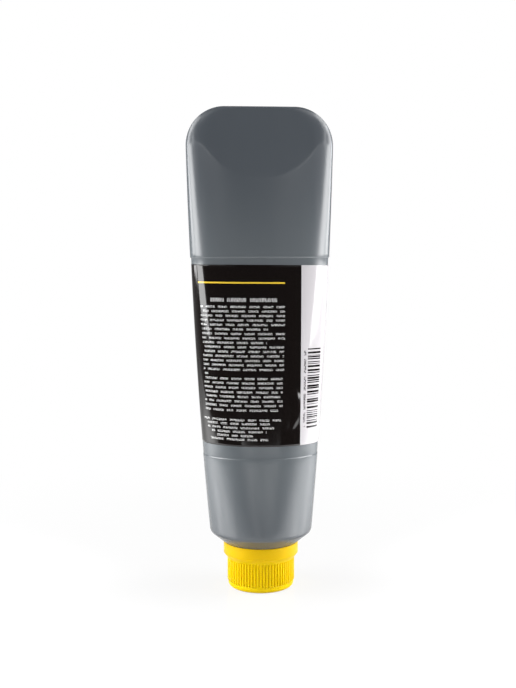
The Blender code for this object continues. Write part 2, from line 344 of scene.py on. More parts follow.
@dataclass(frozen=True)
class TubeForm:
    """The moulded form of the tube, round at the shoulder and flat at the tail.

    Sections are superellipses whose half width and half depth change with height, cut flat near the
    tail by two facets. The mould's parting line is a low ridge along both sides.
    """

    neck_radius: float = 14.2 * MM
    mouth_radius: float = 12.1 * MM
    lip_round: float = 0.4 * MM
    bead_depth: float = 1.2 * MM
    bead_height: float = 1.6 * MM
    shoulder_slope: float = math.radians(39.0)
    shoulder_fillet: float = 3.2 * MM
    body_radius: float = 26.8 * MM
    body_length: float = 218.2 * MM
    tail_half_width: float = 38.35 * MM
    side_bow: float = 2.05 * MM
    tail_fullness: float = 2.5
    tail_half_thickness: float = 1.8 * MM
    tail_corner: float = 20.4 * MM
    tail_edge: float = 1.4 * MM
    facet_length: float = 37.0 * MM
    facet_half_depth: float = 10.0 * MM
    facet_blend: float = 0.14 * MM
    tail_rim: float = 11.0 * MM
    tail_rim_end: float = 0.15 * MM
    panel_start: float = 39.1 * MM
    panel_length: float = 102.4 * MM
    panel_depth_below: float = 0.2 * MM
    panel_depth_above: float = 0.5 * MM
    panel_step: float = 0.7 * MM
    cavity_inset: float = 1.4 * MM
    parting_height: float = 0.12 * MM
    parting_half_width: float = 0.3 * MM
    pinch_ridge: float = 0.12 * MM
    columns: int = 320
    column_gathering: float = 0.9

    @property
    def lip_z(self) -> float:
        """Height of the mouth, which points down."""
        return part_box("tube_body")[0].z

    @property
    def tail_z(self) -> float:
        """Height of the tail's end."""
        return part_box("tube_body")[1].z

    @property
    def body_z(self) -> float:
        """Height where the shoulder's fillet runs into the side."""
        return self.tail_z - self.body_length

    @property
    def facet_z(self) -> float:
        """Height where the tail's facets begin, on the middle line."""
        return self.tail_z - self.facet_length

    @property
    def corner_z(self) -> float:
        """Height where the tail's corners begin to round."""
        return self.tail_z - self.tail_corner

    @property
    def panel_z(self) -> float:
        """Height of the lower edge of the sunk panel."""
        return self.body_z + self.panel_start

    @property
    def panel_top_z(self) -> float:
        """Height of the upper edge of the sunk panel."""
        return self.panel_z + self.panel_length

    def angles(self) -> np.ndarray:
        """Angles of the columns, gathered at the parting line: a = b - g sin(2 b) / 2."""
        even = even_angles(self.columns)
        return even - 0.5 * self.column_gathering * np.sin(2.0 * even)

    def shoulder_z(self, radius: float | np.ndarray) -> float | np.ndarray:
        """Height of the shoulder's cone at a radius.

        Args:
            radius: Distance from the axis, or several.

        Returns:
            The height at each of them.
        """
        tangent = self.body_radius - self.shoulder_fillet * (1.0 - math.sin(self.shoulder_slope))
        rim = self.body_z - self.shoulder_fillet * math.cos(self.shoulder_slope)
        return rim + (radius - tangent) * math.tan(self.shoulder_slope)

    def shoulder_turn(self, inset: float, steps: int) -> np.ndarray:
        """Radius and height round the shoulder's fillet, from the cone to the side.

        Args:
            inset: Distance inside the outer form.
            steps: Number of points.

        Returns:
            One row of radius and height per point.
        """
        centre = (self.body_radius - self.shoulder_fillet, self.body_z)
        start = math.degrees(self.shoulder_slope) - 90.0
        return arc(centre, self.shoulder_fillet - inset, start, 0.0, steps)

    def throat(self, radius: float, start: float, inset: float) -> np.ndarray:
        """Radius and height up the inside of the neck and along the shoulder to the side.

        Args:
            radius: Radius inside the neck.
            start: Height of the first point.
            inset: Distance inside the outer form.

        Returns:
            One row of radius and height per point.
        """
        fillet = self.shoulder_turn(inset, 6)
        top = self.shoulder_z(radius) + inset / math.cos(self.shoulder_slope)
        neck = run((radius, start), (radius, top), 6)
        cone = run((radius, top), tuple(fillet[0]), 5)
        return np.concatenate([neck, cone[1:-1], fillet[:-1]])

    def panel_inset(self, z: np.ndarray) -> np.ndarray:
        """Depth of the sunk panel, which changes evenly along it and is stepped at both edges.

        Args:
            z: Heights, by row or by row and column.

        Returns:
            The depth at each of them.
        """
        share = (z - self.panel_z) / self.panel_length
        depth = self.panel_depth_below + (self.panel_depth_above - self.panel_depth_below) * share
        rise = smooth_step(z, self.panel_z, self.panel_z + self.panel_step)
        fall = smooth_step(z, self.panel_top_z - self.panel_step, self.panel_top_z)
        return depth * rise * (1.0 - fall)

    def section(self, z: np.ndarray, inset: np.ndarray | float, angles: np.ndarray,
                parting: np.ndarray | float) -> np.ndarray:
        """Sections of the body, moved in by inset.

        x = (w - m) cos a to the power p, y = c sin a to the power p, where p = 2 / n and n goes from
        2 at the shoulder to the tail's fullness. The half width w is a straight taper with a bow and
        loses the tail's corner, the half depth c is a straight taper, and the steeper facets cap y;
        round the corners these fall off to the rim in an arc. A bell curve in y adds the parting
        ridge m to x again.

        Args:
            z: Heights, by row.
            inset: Distance inside the outer form, by row or by row and column.
            angles: Angles, by column.
            parting: Height of the parting ridge, by row.

        Returns:
            Points by row and column.
        """
        share = (z - self.body_z) / self.body_length
        width = self.body_radius + (self.tail_half_width - self.body_radius) * share
        width = width + 4.0 * self.side_bow * share * (1.0 - share) - inset
        corner = self.tail_corner - inset
        reach = np.clip(z - self.corner_z, 0.0, corner)
        upright = np.sqrt(corner**2 - reach**2) / corner
        width = width - corner * (1.0 - upright)

        slope = (self.facet_half_depth - self.body_radius) / (self.facet_z - self.body_z)
        depth = self.body_radius + slope * (z - self.body_z) - inset
        slope = (self.tail_half_thickness - self.facet_half_depth) / self.facet_length
        facet = self.facet_half_depth + slope * (z - self.facet_z) - inset
        edge = np.maximum(self.tail_edge - inset, 0.0)
        reach = np.clip(z - self.tail_z + self.tail_edge, 0.0, edge)
        facet = facet - edge + np.sqrt(edge**2 - reach**2)

        power = 2.0 / (2.0 + (self.tail_fullness - 2.0) * share)
        cosine, sine = (np.round(wave(angles), ANGLE_DIGITS) for wave in (np.cos, np.sin))
        from_edge = upright * width * (1.0 - np.abs(cosine) ** power) + self.tail_rim_end
        from_edge = np.minimum(from_edge / (self.tail_rim * upright + self.tail_rim_end), 1.0)
        facet = facet * np.sqrt(from_edge * (2.0 - from_edge))
        y = np.sign(sine) * soft_min(depth * np.abs(sine) ** power, facet, self.facet_blend)
        ridge = parting * np.exp(-((y / self.parting_half_width) ** 2))
        x = np.sign(cosine) * ((width - parting) * np.abs(cosine) ** power + ridge)
        return np.stack(np.broadcast_arrays(x, y, z), axis=-1)

    def closing_line(self, ring: np.ndarray, z: float) -> np.ndarray:
        """The points of a ring drawn together on the plane of the parting line, at height z."""
        x = ring[..., 0]
        return np.stack([x, np.zeros_like(x), np.full_like(x, z)], axis=-1)

    def tail_levels(self, inset: float, straight: int, round_steps: int) -> np.ndarray:
        """Heights from the facets to the end, close together where the corners turn over.

        Round the corners they rise by the corner's radius times the sine of even angles.

        Args:
            inset: Distance inside the outer form.
            straight: Number of heights up to the start of the corners.
            round_steps: Number of heights round the corners.

        Returns:
            The heights, from below upwards.
        """
        turn = np.linspace(0.0, math.pi / 2, round_steps)
        rise = self.corner_z + (self.tail_corner - inset) * np.sin(turn)
        return np.concatenate([np.linspace(self.facet_z, self.corner_z, straight)[:-1], rise])


@dataclass
class MouldedTube:
    """The blow-moulded tube: neck with its thread and bead, shoulder, body and pinched tail."""

    form: TubeForm
    thread: Thread
    thread_start: float = 1.3 * MM
    thread_end: float = 11.6 * MM
    thread_offset: float = 0.0

    def outside(self, angles: np.ndarray) -> np.ndarray:
        """Rings of the outer skin, from the lip up to the closing line of the tail.

        Args:
            angles: Angles of the columns.

        Returns:
            Points by row and column.
        """
        form = self.form
        lip, radius = form.lip_z, form.neck_radius
        root = form.shoulder_z(radius)
        bead = root - form.bead_height - form.bead_depth
        crown = radius + form.bead_depth
        turn = arc((radius - form.lip_round, lip + form.lip_round), form.lip_round, -90.0, 0.0, 5)
        wall = run((radius, lip + form.lip_round), (radius, bead - form.bead_depth), 64)[1:]
        ring = np.concatenate([
            run((radius, bead - form.bead_depth), (crown, bead), 5)[1:],
            run((crown, bead), (crown, bead + form.bead_height), 4)[1:],
            run((crown, bead + form.bead_height), (radius, root), 5)[1:],
        ])
        fillet = form.shoulder_turn(0.0, 10)
        cone = run((radius, root), tuple(fillet[0]), 12)[1:-1]
        profile = np.concatenate([turn, wall, ring, cone, fillet[:-1]])
        z = profile[:, 1:]
        start, end = lip + self.thread_start, lip + self.thread_end
        ridge = self.thread.ridge(z, angles, start, end, self.thread_offset)
        neck = turned(profile[:, :1] + ridge * (z < bead - form.bead_depth), z, angles)

        step = form.panel_step
        below = (form.body_z, form.panel_z, form.panel_z + step)
        above = (form.panel_top_z - step, form.panel_top_z, form.facet_z)
        stops = below + above
        counts = (16, 9, 26, 9, 28)
        levels = [np.linspace(*stretch)[:-1] for stretch in zip(stops, stops[1:], counts)]
        z = column(np.concatenate([*levels, form.tail_levels(0.0, 24, 32)]))
        rise = form.parting_height * smooth_step(z, form.body_z, form.panel_z)
        body = form.section(z, form.panel_inset(z), angles, rise)
        body[-1, :, 2] -= form.pinch_ridge
        return np.concatenate([neck, body, form.closing_line(body[-1:], form.tail_z)])

    def inside(self, angles: np.ndarray) -> np.ndarray:
        """Rings of the inner skin, from the lip up to the closing line inside the tail.

        Args:
            angles: Angles of the columns.

        Returns:
            Points by row and column.
        """
        form = self.form
        inset = form.cavity_inset
        profile = form.throat(form.mouth_radius, form.lip_z, inset)
        neck = turned(profile[:, :1], profile[:, 1:], angles)
        z = column(np.concatenate([
            np.linspace(form.body_z, form.facet_z, 14)[:-1],
            form.tail_levels(inset, 6, 14),
        ]))
        body = form.section(z, inset, angles, 0.0)
        return np.concatenate([neck, body, form.closing_line(body[-1:], body[-1, 0, 2])])

    def build(self) -> None:
        """Join both skins at the lip into one shell and dress it."""
        angles = self.form.angles()
        grid = np.concatenate([self.inside(angles)[::-1], self.outside(angles)])
        piece = grid_object("moulded_tube", grid, wrap=True, crease=60.0)
        seat(piece, Body.TUBE, "tube_body", MouldedHDPE().build())


@dataclass(frozen=True)
class PrintBlock:
    """A block of marks that stands for lines of type, in millimetres on the film."""

    left: float
    right: float
    first: float
    lines: int = 1
    pitch: float = 2.267
    height: float = 1.05
    stroke: float = 0.3
    rise: float = 1.8
    word: float = 8.0


@dataclass(frozen=True)
class PrintLayout:
    """What is printed on the film, in millimetres: across from the middle of the back, down from the top.

    The blocks give the left and right ends of their lines and the middle of the first line.
    """

    white_left: float = 20.2
    rule_across: Span = (-33.9, 11.5)
    rule_down: Span = (8.65, 9.45)
    blocks: tuple[PrintBlock, ...] = (
        PrintBlock(-26.9, -8.4, 17.7, 1, 2.267, 1.9, 0.3, 60.0, 90.0),
        PrintBlock(-6.5, 7.4, 17.7, 1, 2.267, 1.9, 0.3, 60.0, 90.0),
        PrintBlock(-32.7, 11.5, 21.2, 5),
        PrintBlock(-32.1, 2.8, 32.5),
        PrintBlock(-32.0, 11.5, 34.8, 2),
        PrintBlock(-31.7, 2.3, 39.3),
        PrintBlock(-31.7, 11.0, 41.5, 6),
        PrintBlock(-31.7, -28.9, 55.2),
        PrintBlock(-31.6, 10.3, 57.4, 7),
        PrintBlock(-31.5, 7.9, 73.3),
        PrintBlock(-33.0, 9.4, 78.2),
        PrintBlock(-30.3, 3.8, 80.1),
        PrintBlock(-30.5, 5.8, 82.1),
        PrintBlock(-27.5, 2.2, 84.1),
        PrintBlock(-24.2, -4.9, 86.1),
        PrintBlock(-28.5, 2.7, 88.0),
    )
    side_line: PrintBlock = PrintBlock(43.5, 82.3, 22.6, 1, 2.267, 1.3, 0.35)
    stripes_across: Span = (24.2, 33.2)
    stripes_down: Span = (42.3, 84.0)
    stripe: float = 1.0


@dataclass
class WrapLabel:
    """The film label: wrapped round the sunk panel, a little askew, its end lapped over its start."""

    form: TubeForm
    layout: PrintLayout
    glue: float = 0.03 * MM
    film: float = 0.09 * MM
    lap: float = 5.0 * MM
    seam: float = math.radians(25.0)
    askew: float = math.radians(0.6)
    blister_middle: Span = (12.2 * MM, 72.4 * MM)
    blister_half: Span = (10.0 * MM, 13.4 * MM)
    blister_edge: Span = (0.72, 1.06)
    blister_rise: Span = (12.8 * MM, 17.4 * MM)
    blister_height: float = 0.4 * MM
    rows: int = 121
    chart_name: str = "film_mm"

    def arc_length(self, rings: np.ndarray, angles: np.ndarray) -> np.ndarray:
        """Length along each ring from the middle of the back.

        Args:
            rings: Points by row and column.
            angles: Angles of the columns.

        Returns:
            Lengths by row and column.
        """
        steps = np.linalg.norm(np.diff(rings, axis=1), axis=2)
        length = np.concatenate([np.zeros_like(steps[:, :1]), np.cumsum(steps, axis=1)], axis=1)
        return length - length[:, [int(np.argmin(np.abs(angles - BACK_ANGLE)))]]

    def blister(self, across: np.ndarray, down: np.ndarray) -> np.ndarray:
        """Height of the air left under the film, beside the edge of the white print.

        It is level on an ellipse, falls off past the ellipse's edge and rises smoothly from the left.

        Args:
            across: Lengths across the film from the middle of the back.
            down: Lengths down the film from its upper edge.

        Returns:
            Heights by row and column.
        """
        wide = (across - self.blister_middle[0]) / self.blister_half[0]
        tall = (down - self.blister_middle[1]) / self.blister_half[1]
        level = 1.0 - smooth_step(np.hypot(wide, tall), *self.blister_edge)
        return self.blister_height * level * smooth_step(across, *self.blister_rise)

    def build(self) -> None:
        """Lay the film on the panel and give it its thickness and print.

        Its height is that of the upper edge, less the length down and less the length across times the
        tangent of the skew, and it lies on the section there, over the panel's depth.
        """
        form = self.form
        low, high = (corner.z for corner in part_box("wrap_label"))
        lap = self.lap / form.body_radius
        turn = form.angles()
        angles = np.concatenate([turn, turn + TURN, turn + 2.0 * TURN])
        inside = (angles > self.seam) & (angles < self.seam + TURN + lap)
        angles = np.concatenate([[self.seam], angles[inside], [self.seam + TURN + lap]])

        middle = form.section(column([(low + high) / 2]), form.panel_depth_above, angles, 0.0)
        across = self.arc_length(middle, angles)
        down = column(np.linspace(0.0, high - low, self.rows))
        shift = down * math.tan(self.askew)

        z = high - down - across * math.tan(self.askew)
        lift = self.film * smooth_step(angles, self.seam + TURN - lap, self.seam + TURN)
        lift = lift + self.blister(across + shift, down)
        inset = form.panel_inset(z) - self.glue - self.film - lift
        grid = form.section(z, inset, angles, 0.0)
        along = self.arc_length(grid, angles) + shift
        chart = np.stack(np.broadcast_arrays(along / MM, down / MM), axis=-1)
        piece = grid_object("wrap_film", grid[::-1], wrap=False, crease=30.0, chart=chart[::-1],
                            chart_name=self.chart_name)
        wall = piece.modifiers.new("film", "SOLIDIFY")
        wall.thickness = self.film
        wall.offset = -1.0
        finish = PrintedFilm(self.layout, self.chart_name).build()
        seat(piece, Body.TUBE, "wrap_label", finish)


@dataclass
class RibbedCap:
    """The injection-moulded cap: closed end, ribbed barrel, flare and plain skirt, threaded inside."""

    thread: Thread
    bore: float = 15.6 * MM
    wall: float = 1.6 * MM
    end: float = 1.6 * MM
    end_fillet: float = 2.4 * MM
    barrel_height: float = 15.2 * MM
    flare_height: float = 3.1 * MM
    flare_width: float = 2.4 * MM
    skirt_land: float = 0.3 * MM
    skirt_edge: float = 0.2 * MM
    skirt_rise: float = 0.5 * MM
    skirt_slope: float = math.radians(39.0)
    gate_radius: float = 1.6 * MM
    gate_depth: float = 0.25 * MM
    ribs: int = 68
    rib_height: float = 0.45 * MM
    groove_depth: float = 0.25 * MM
    rib_start: float = 3.2 * MM
    rib_run_out: float = 0.7 * MM
    rib_crest: float = 0.42
    rib_root: float = 0.82
    columns_per_rib: int = 10
    thread_start: float = 5.0 * MM
    thread_end: float = 15.2 * MM
    thread_offset: float = 0.5

    def profile(self) -> tuple[np.ndarray, np.ndarray]:
        """Radius and height along the wall.

        Returns:
            The outer profile, from the middle of the closed end up to the top of the skirt, and the
            inner profile, from there down to the middle of the inside.
        """
        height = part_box("screw_cap")[1].z + self.skirt_rise
        barrel = self.bore + self.wall
        skirt = barrel + self.flare_width
        skirt_bore = skirt - self.wall
        flare_top = self.barrel_height + self.flare_height
        shift = self.wall * math.tan(math.atan2(self.flare_width, self.flare_height) / 2)
        bevel = (self.wall - self.skirt_land) * math.tan(self.skirt_slope)
        outer = np.concatenate([
            run((0.0, self.gate_depth), (self.gate_radius - self.gate_depth, self.gate_depth), 3),
            run((self.gate_radius, 0.0), (barrel - self.end_fillet, 0.0), 4),
            arc((barrel - self.end_fillet, self.end_fillet), self.end_fillet, -90.0, 0.0, 10)[1:],
            run((barrel, self.rib_start), (barrel, self.rib_start + self.rib_run_out), 6),
            run((barrel, self.rib_start + self.rib_run_out), (barrel, self.barrel_height), 5)[1:],
            run((barrel, self.barrel_height), (skirt, flare_top), 14)[1:],
            run((skirt, flare_top), (skirt, height - self.skirt_edge), 5)[1:],
            arc((skirt - self.skirt_edge, height - self.skirt_edge), self.skirt_edge, 0.0, 90.0, 4)[1:],
        ])
        inner = np.concatenate([
            run((skirt - self.skirt_land, height), (skirt_bore, height - bevel), 4),
            run((skirt_bore, height - bevel), (skirt_bore, flare_top + shift), 4)[1:],
            run((skirt_bore, flare_top + shift), (self.bore, self.barrel_height + shift), 6)[1:],
            run((self.bore, self.barrel_height + shift), (self.bore, self.end), 50)[1:],
            run((self.bore, self.end), (0.0, self.end), 5)[1:],
        ])
        return outer, inner

    def rib_wave(self, angles: np.ndarray) -> np.ndarray:
        """Share of the ribs' height round the barrel: level crests, rounded down to level roots.

        Args:
            angles: Angles of the columns.

        Returns:
            Shares by column.
        """
        phase = angles * self.ribs / TURN
        across = np.abs(phase - np.round(phase)) * 2.0
        return 1.0 - smooth_step(across, self.rib_crest, self.rib_root)

    def build(self) -> None:
        """Carry the profile round the axis with the ribs outside and the thread inside."""
        angles = even_angles(self.ribs * self.columns_per_rib)
        outer, inner = self.profile()
        barrel = self.bore + self.wall
        z = outer[:, 1:]
        rise = smooth_step(z, self.rib_start, self.rib_start + self.rib_run_out)
        wave = (self.rib_height + self.groove_depth) * self.rib_wave(angles) - self.groove_depth
        ribbed = barrel + rise * wave
        ribbed = np.where(z > self.barrel_height, np.maximum(outer[:, :1], ribbed), ribbed)
        outside = turned(np.where(z > self.rib_start, ribbed, outer[:, :1]), z, angles)
        z = inner[:, 1:]
        ridge = self.thread.ridge(z, angles, self.thread_start, self.thread_end, self.thread_offset)
        on_bore = (inner[:, :1] >= self.bore - WELD_DISTANCE) & (z < self.barrel_height)
        inside = turned(inner[:, :1] - ridge * on_bore, z, angles)
        grid = np.concatenate([outside, inside])
        piece = grid_object("ribbed_cap", grid, wrap=True, crease=50.0)
        seat(piece, Body.CAP, "screw_cap", MouldedPP().build())


@dataclass
class CapWad:
    """The foamed disc in the end of the cap, dented by the lip of the mouth.

    The dent starts and ends over shares of the lip's width, counted from its inner edge.
    """

    form: TubeForm
    edge: float = 0.2 * MM
    dent: float = 0.12 * MM
    dent_start: Span = (-0.15, 0.1)
    dent_end: Span = (0.9, 1.15)
    columns: int = 128

    def build(self) -> None:
        """Turn a rounded disc whose upper face sinks in a ring where the lip presses."""
        low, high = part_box("cap_wad")
        radius = high.x
        rim = [
            run((0.0, low.z), (radius - self.edge, low.z), 4),
            arc((radius - self.edge, low.z + self.edge), self.edge, -90.0, 0.0, 5)[1:],
            arc((radius - self.edge, high.z - self.edge), self.edge, 0.0, 90.0, 5),
            run((radius - self.edge, high.z), (0.0, high.z), 60)[1:],
        ]
        profile = np.concatenate(rim)
        lip = self.form.neck_radius - self.form.mouth_radius
        spread = (profile[:, 0] - self.form.mouth_radius) / lip
        pressed = smooth_step(spread, *self.dent_start) * (1.0 - smooth_step(spread, *self.dent_end))
        profile[:, 1] -= self.dent * pressed * (profile[:, 1] > high.z - WELD_DISTANCE)
        angles = even_angles(self.columns)
        grid = turned(profile[:, :1], profile[:, 1:], angles)
        piece = grid_object("foam_wad", grid, wrap=True, crease=50.0)
        seat(piece, Body.WAD, "cap_wad", FoamedPE().build())


@dataclass
class FoilSeal:
    """The foil across the mouth: flat where it is welded to the lip, slack and creased in the middle."""

    form: TubeForm
    crease: float = 0.05 * MM
    crease_count: int = 9
    crease_twist: float = 90.0 / math.pi
    crease_start: float = 0.4
    slack_start: float = 0.6
    columns: int = 180
    rows: int = 48

    def build(self) -> None:
        """Make two near faces of height h, where h is a sum of radial and ring waves inside the mouth."""
        low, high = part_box("foil_seal")
        angles = even_angles(self.columns)
        radius = column(np.linspace(0.0, high.x, self.rows))
        share = radius / self.form.mouth_radius
        slack = 1.0 - smooth_step(share, self.slack_start, 1.0)
        slack = slack * smooth_step(share, 0.0, self.crease_start)
        wave = np.sin(self.crease_count * angles + self.crease_twist * share) * np.cos(TURN * share)
        wave = self.crease * slack * wave
        lower = turned(radius, low.z + self.crease + wave, angles)
        upper = turned(radius, high.z - self.crease + wave, angles)
        grid = np.concatenate([lower, upper[::-1]])
        piece = grid_object("foil_disc", grid, wrap=True, crease=40.0)
        seat(piece, Body.TUBE, "foil_seal", SealFoil().build())


@dataclass
class GreaseFill:
    """The grease: it takes the shape of the inside and ends in a wavy surface under the headspace."""

    form: TubeForm
    clearance: float = 0.3 * MM
    wave: float = 1.1 * MM
    wave_length: float = 21.0 * MM
    rows: int = 60

    def build(self) -> None:
        """Loft the filled inside and close it below the headspace along a wavy line.

        The line's height is a sine of the distance along the tail's width.
        """
        form = self.form
        low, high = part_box("grease_fill")
        angles = form.angles()
        inset = form.cavity_inset + self.clearance
        radius = form.mouth_radius - self.clearance
        end = run((0.0, low.z), (radius, low.z), 5)
        profile = np.concatenate([end[:-1], form.throat(radius, low.z, inset)])
        neck = turned(profile[:, :1], profile[:, 1:], angles)
        z = column(np.linspace(form.body_z, high.z - self.wave, self.rows))
        body = form.section(z, inset, angles, 0.0)
        swell = 0.5 * self.wave * np.sin(TURN * body[-1:, :, 0] / self.wave_length)
        surface = form.closing_line(body[-1:], high.z - 0.5 * self.wave)
        surface[..., 2] += swell
        grid = np.concatenate([neck, body, surface])
        piece = grid_object("grease_mass", grid, wrap=True, crease=50.0)
        seat(piece, Body.TUBE, "grease_fill", GraphiteGrease().build())


@dataclass(frozen=True)
class MouldedHDPE:
    """Blow-moulded, pigmented high-density polyethylene: satin gloss over a faint orange peel, with
    long flow marks from the parison. Towards the tail and round the shoulder its grey is painted
    darker, as painted shade."""

    shaded_tone: str = "#494e54"
    unshaded_tone: str = "#5c6165"
    ior: float = 1.6
    tail: Span = (165.0 * MM, 222.0 * MM)
    shoulder: Span = (75.0 * MM, 30.0 * MM)
    shoulder_share: float = 0.6
    drift: float = 40.0 * MM
    drift_share: float = 0.2
    flow_width: float = 3.0 * MM
    flow_length: float = 70.0 * MM
    peel: float = 1.1 * MM
    peel_height: float = 0.012 * MM
    roughness: Span = (0.22, 0.27)

    def build(self) -> Material:
        """Make the material.

        Returns:
            The finished material.
        """
        material, add = start_material("blow_moulded_HDPE")
        place = add("TexCoord").outputs["Object"]
        height = add("SeparateXYZ", place).outputs["Z"]
        # Painted shade: the grey is painted darker towards the tail and round the shoulder.
        tail = add("MapRange", height, *self.tail, **SMOOTH)
        shoulder = add("MapRange", height, *self.shoulder, 0.0, self.shoulder_share, **SMOOTH)
        painted_shade = add("Math", tail, shoulder, operation="MAXIMUM")
        drift = add("TexNoise", Vector=place, Scale=1.0 / self.drift, Detail=3.0)
        painted_shade = add("Mix", self.drift_share, None, painted_shade, drift)
        tones = (linear(self.unshaded_tone), linear(self.shaded_tone))
        tone = add("Mix", painted_shade, *MIX_SKIP, *tones, data_type="RGBA")
        across, along = 1.0 / self.flow_width, 1.0 / self.flow_length
        flow = add("Mapping", Vector=place, Scale=(across, across, along))
        marks = add("TexNoise", Vector=flow, Scale=1.0, Detail=1.0)
        gloss = add("MapRange", marks, *NOISE_RANGE, *self.roughness)
        peel = add("TexNoise", Vector=place, Scale=1.0 / self.peel, Detail=2.0)
        return end_material(material, peel, self.peel_height,
                            Base_Color=tone.outputs[MIX_COLOUR], IOR=self.ior, Roughness=gloss)


@dataclass(frozen=True)
class PrintedFilm:
    """Biaxially drawn polypropylene film, printed and varnished: deep even inks under a sharp gloss,
    which wavers where the film isn't quite flat on the tube. Lengths along it are in millimetres."""

    layout: PrintLayout
    chart_name: str
    black: str = "#110d0c"
    white: str = "#bebbbe"
    yellow: str = "#e2bf3c"
    type_white: str = "#cccccc"
    ior: float = 1.5
    roughness: float = 0.09
    waver: float = 14.0
    waver_height: float = 0.03 * MM
    word_gap: float = 0.8
    ink_share: float = 0.5
    line_shift: float = 97.3

    def overlap(self, add: Adder, *masks: Node) -> Node:
        """One where every mask is one, and nought elsewhere.

        It is the product of the masks.

        Args:
            add: Adds a node to the material.
            *masks: The masks.

        Returns:
            The shared mask.
        """
        shared = masks[0]
        for mask in masks[1:]:
            shared = add("Math", shared, mask, operation="MULTIPLY")
        return shared

    def box(self, add: Adder, axes: Axes, spans: tuple[Span, Span]) -> Node:
        """One inside a rectangle on the film and nought outside.

        Args:
            add: Adds a node to the material.
            axes: The film's two coordinates.
            spans: Where the rectangle starts and ends on each of them.

        Returns:
            The mask.
        """
        sides = [
            add("Math", axis, (start + end) / 2, (end - start) / 2, operation="COMPARE")
            for axis, (start, end) in zip(axes, spans)
        ]
        return self.overlap(add, *sides)

    def marks(self, add: Adder, axes: Axes, block: PrintBlock) -> Node:
        """One on the strokes of a block's words and nought between them.

        Each line begins at another place of one long row of words, whose strokes are a noise.

        Args:
            add: Adds a node to the material.
            axes: The film's two coordinates, the one along the lines first.
            block: The block.

        Returns:
            The mask.
        """
        along, over = axes
        top = block.first - block.pitch / 2
        below = add("Math", over, top, operation="SUBTRACT")
        lines = add("Math", below, block.pitch, operation="DIVIDE")
        level = add("Math", lines, operation="FRACT")
        on_line = add("Math", level, 0.5, 0.5 * block.height / block.pitch, operation="COMPARE")
        number = add("Math", lines, operation="FLOOR")
        number = add("Math", number, block.first, operation="ADD")
        place = add("Math", number, self.line_shift, along, operation="MULTIPLY_ADD")
        words = add("TexVoronoi", W=place, Scale=1.0 / block.word, voronoi_dimensions="1D",
                    feature="DISTANCE_TO_EDGE")
        in_word = add("Math", words, self.word_gap / block.word, operation="GREATER_THAN")
        drawn = add("Math", over, block.rise, operation="DIVIDE")
        spot = add("CombineXYZ", place, drawn)
        strokes = add("TexNoise", Vector=spot, Scale=1.0 / block.stroke, Detail=0.0,
                      noise_dimensions="2D")
        inked = add("Math", strokes, self.ink_share, operation="GREATER_THAN")
        area = self.box(add, axes, ((block.left, block.right), (top, top + block.lines * block.pitch)))
        return self.overlap(add, area, on_line, in_word, inked)

    def build(self) -> Material:
        """Make the material: white over black, then the rule, the type and the stripes.

        Returns:
            The finished material.
        """
        layout = self.layout
        material, add = start_material("printed_BOPP_film")
        chart = add("UVMap", uv_map=self.chart_name)
        axes = tuple(add("SeparateXYZ", chart).outputs[:2])
        across, down = axes

        words = self.marks(add, axes, layout.blocks[0])
        for block in layout.blocks[1:]:
            words = add("Math", words, self.marks(add, axes, block), operation="MAXIMUM")
        rule = self.box(add, axes, (layout.rule_across, layout.rule_down))
        white_side = add("Math", across, layout.white_left, operation="GREATER_THAN")
        bars = add("TexNoise", W=down, Scale=1.0 / layout.stripe, Detail=0.0, noise_dimensions="1D")
        bars = add("Math", bars, self.ink_share, operation="GREATER_THAN")
        stripes = self.box(add, axes, (layout.stripes_across, layout.stripes_down))
        stripes = self.overlap(add, stripes, bars)
        side_line = self.marks(add, (down, across), layout.side_line)
        stripes = add("Math", stripes, side_line, operation="MAXIMUM")

        colour = linear(self.black)
        inks = {self.white: white_side, self.yellow: rule, self.type_white: words, self.black: stripes}
        for ink, mask in inks.items():
            layer = add("Mix", mask, *MIX_SKIP, colour, linear(ink), data_type="RGBA")
            colour = layer.outputs[MIX_COLOUR]
        waver = add("TexNoise", Vector=chart, Scale=1.0 / self.waver, Detail=1.0)
        return end_material(material, waver, self.waver_height,
                            Base_Color=colour, IOR=self.ior, Roughness=self.roughness)


@dataclass(frozen=True)
class MouldedPP:
    """Injection-moulded, pigmented polypropylene: clear bright colour, satin gloss from a lightly
    blasted mould, a little light let in at its slender edges, and the skirt painted a deeper yellow than
    the barrel, as painted shade."""

    tone: str = "#edce00"
    shade: str = "#e8c700"
    shaded_tone: str = "#deb500"
    painted_shade: Span = (14.5 * MM, 19.5 * MM)
    ior: float = 1.49
    sheen: float = 0.12
    drift: float = 9.0 * MM
    # Finer on a real mould, and drawn as coarse as it needs to show.
    grain: float = 0.5 * MM
    grain_height: float = 0.004 * MM
    roughness: Span = (0.28, 0.36)
    glow: float = 0.12
    glow_depth: float = 1.0 * MM
    glow_shares: tuple[float, float, float] = (1.0, 0.6, 0.1)

    def build(self) -> Material:
        """Make the material.

        Returns:
            The finished material.
        """
        material, add = start_material("injection_moulded_PP")
        place = add("TexCoord").outputs["Object"]
        drift = add("TexNoise", Vector=place, Scale=1.0 / self.drift, Detail=2.0)
        tone = add("Mix", drift, *MIX_SKIP, linear(self.tone), linear(self.shade), data_type="RGBA")
        tone = tone.outputs[MIX_COLOUR]
        height = add("SeparateXYZ", place).outputs["Z"]
        # Painted shade: the skirt, above the barrel, is painted a deeper, warmer yellow.
        painted_shade = add("MapRange", height, *self.painted_shade, **SMOOTH)
        tone = add("Mix", painted_shade, *MIX_SKIP, tone, linear(self.shaded_tone), data_type="RGBA")
        gloss = add("MapRange", drift, *NOISE_RANGE, *self.roughness)
        grain = add("TexNoise", Vector=place, Scale=1.0 / self.grain, Detail=2.0)
        return end_material(material, grain, self.grain_height, Base_Color=tone.outputs[MIX_COLOUR],
                            IOR=self.ior, Roughness=gloss, Specular_IOR_Level=self.sheen,
                            Subsurface_Weight=self.glow, Subsurface_Radius=self.glow_shares,
                            Subsurface_Scale=self.glow_depth)


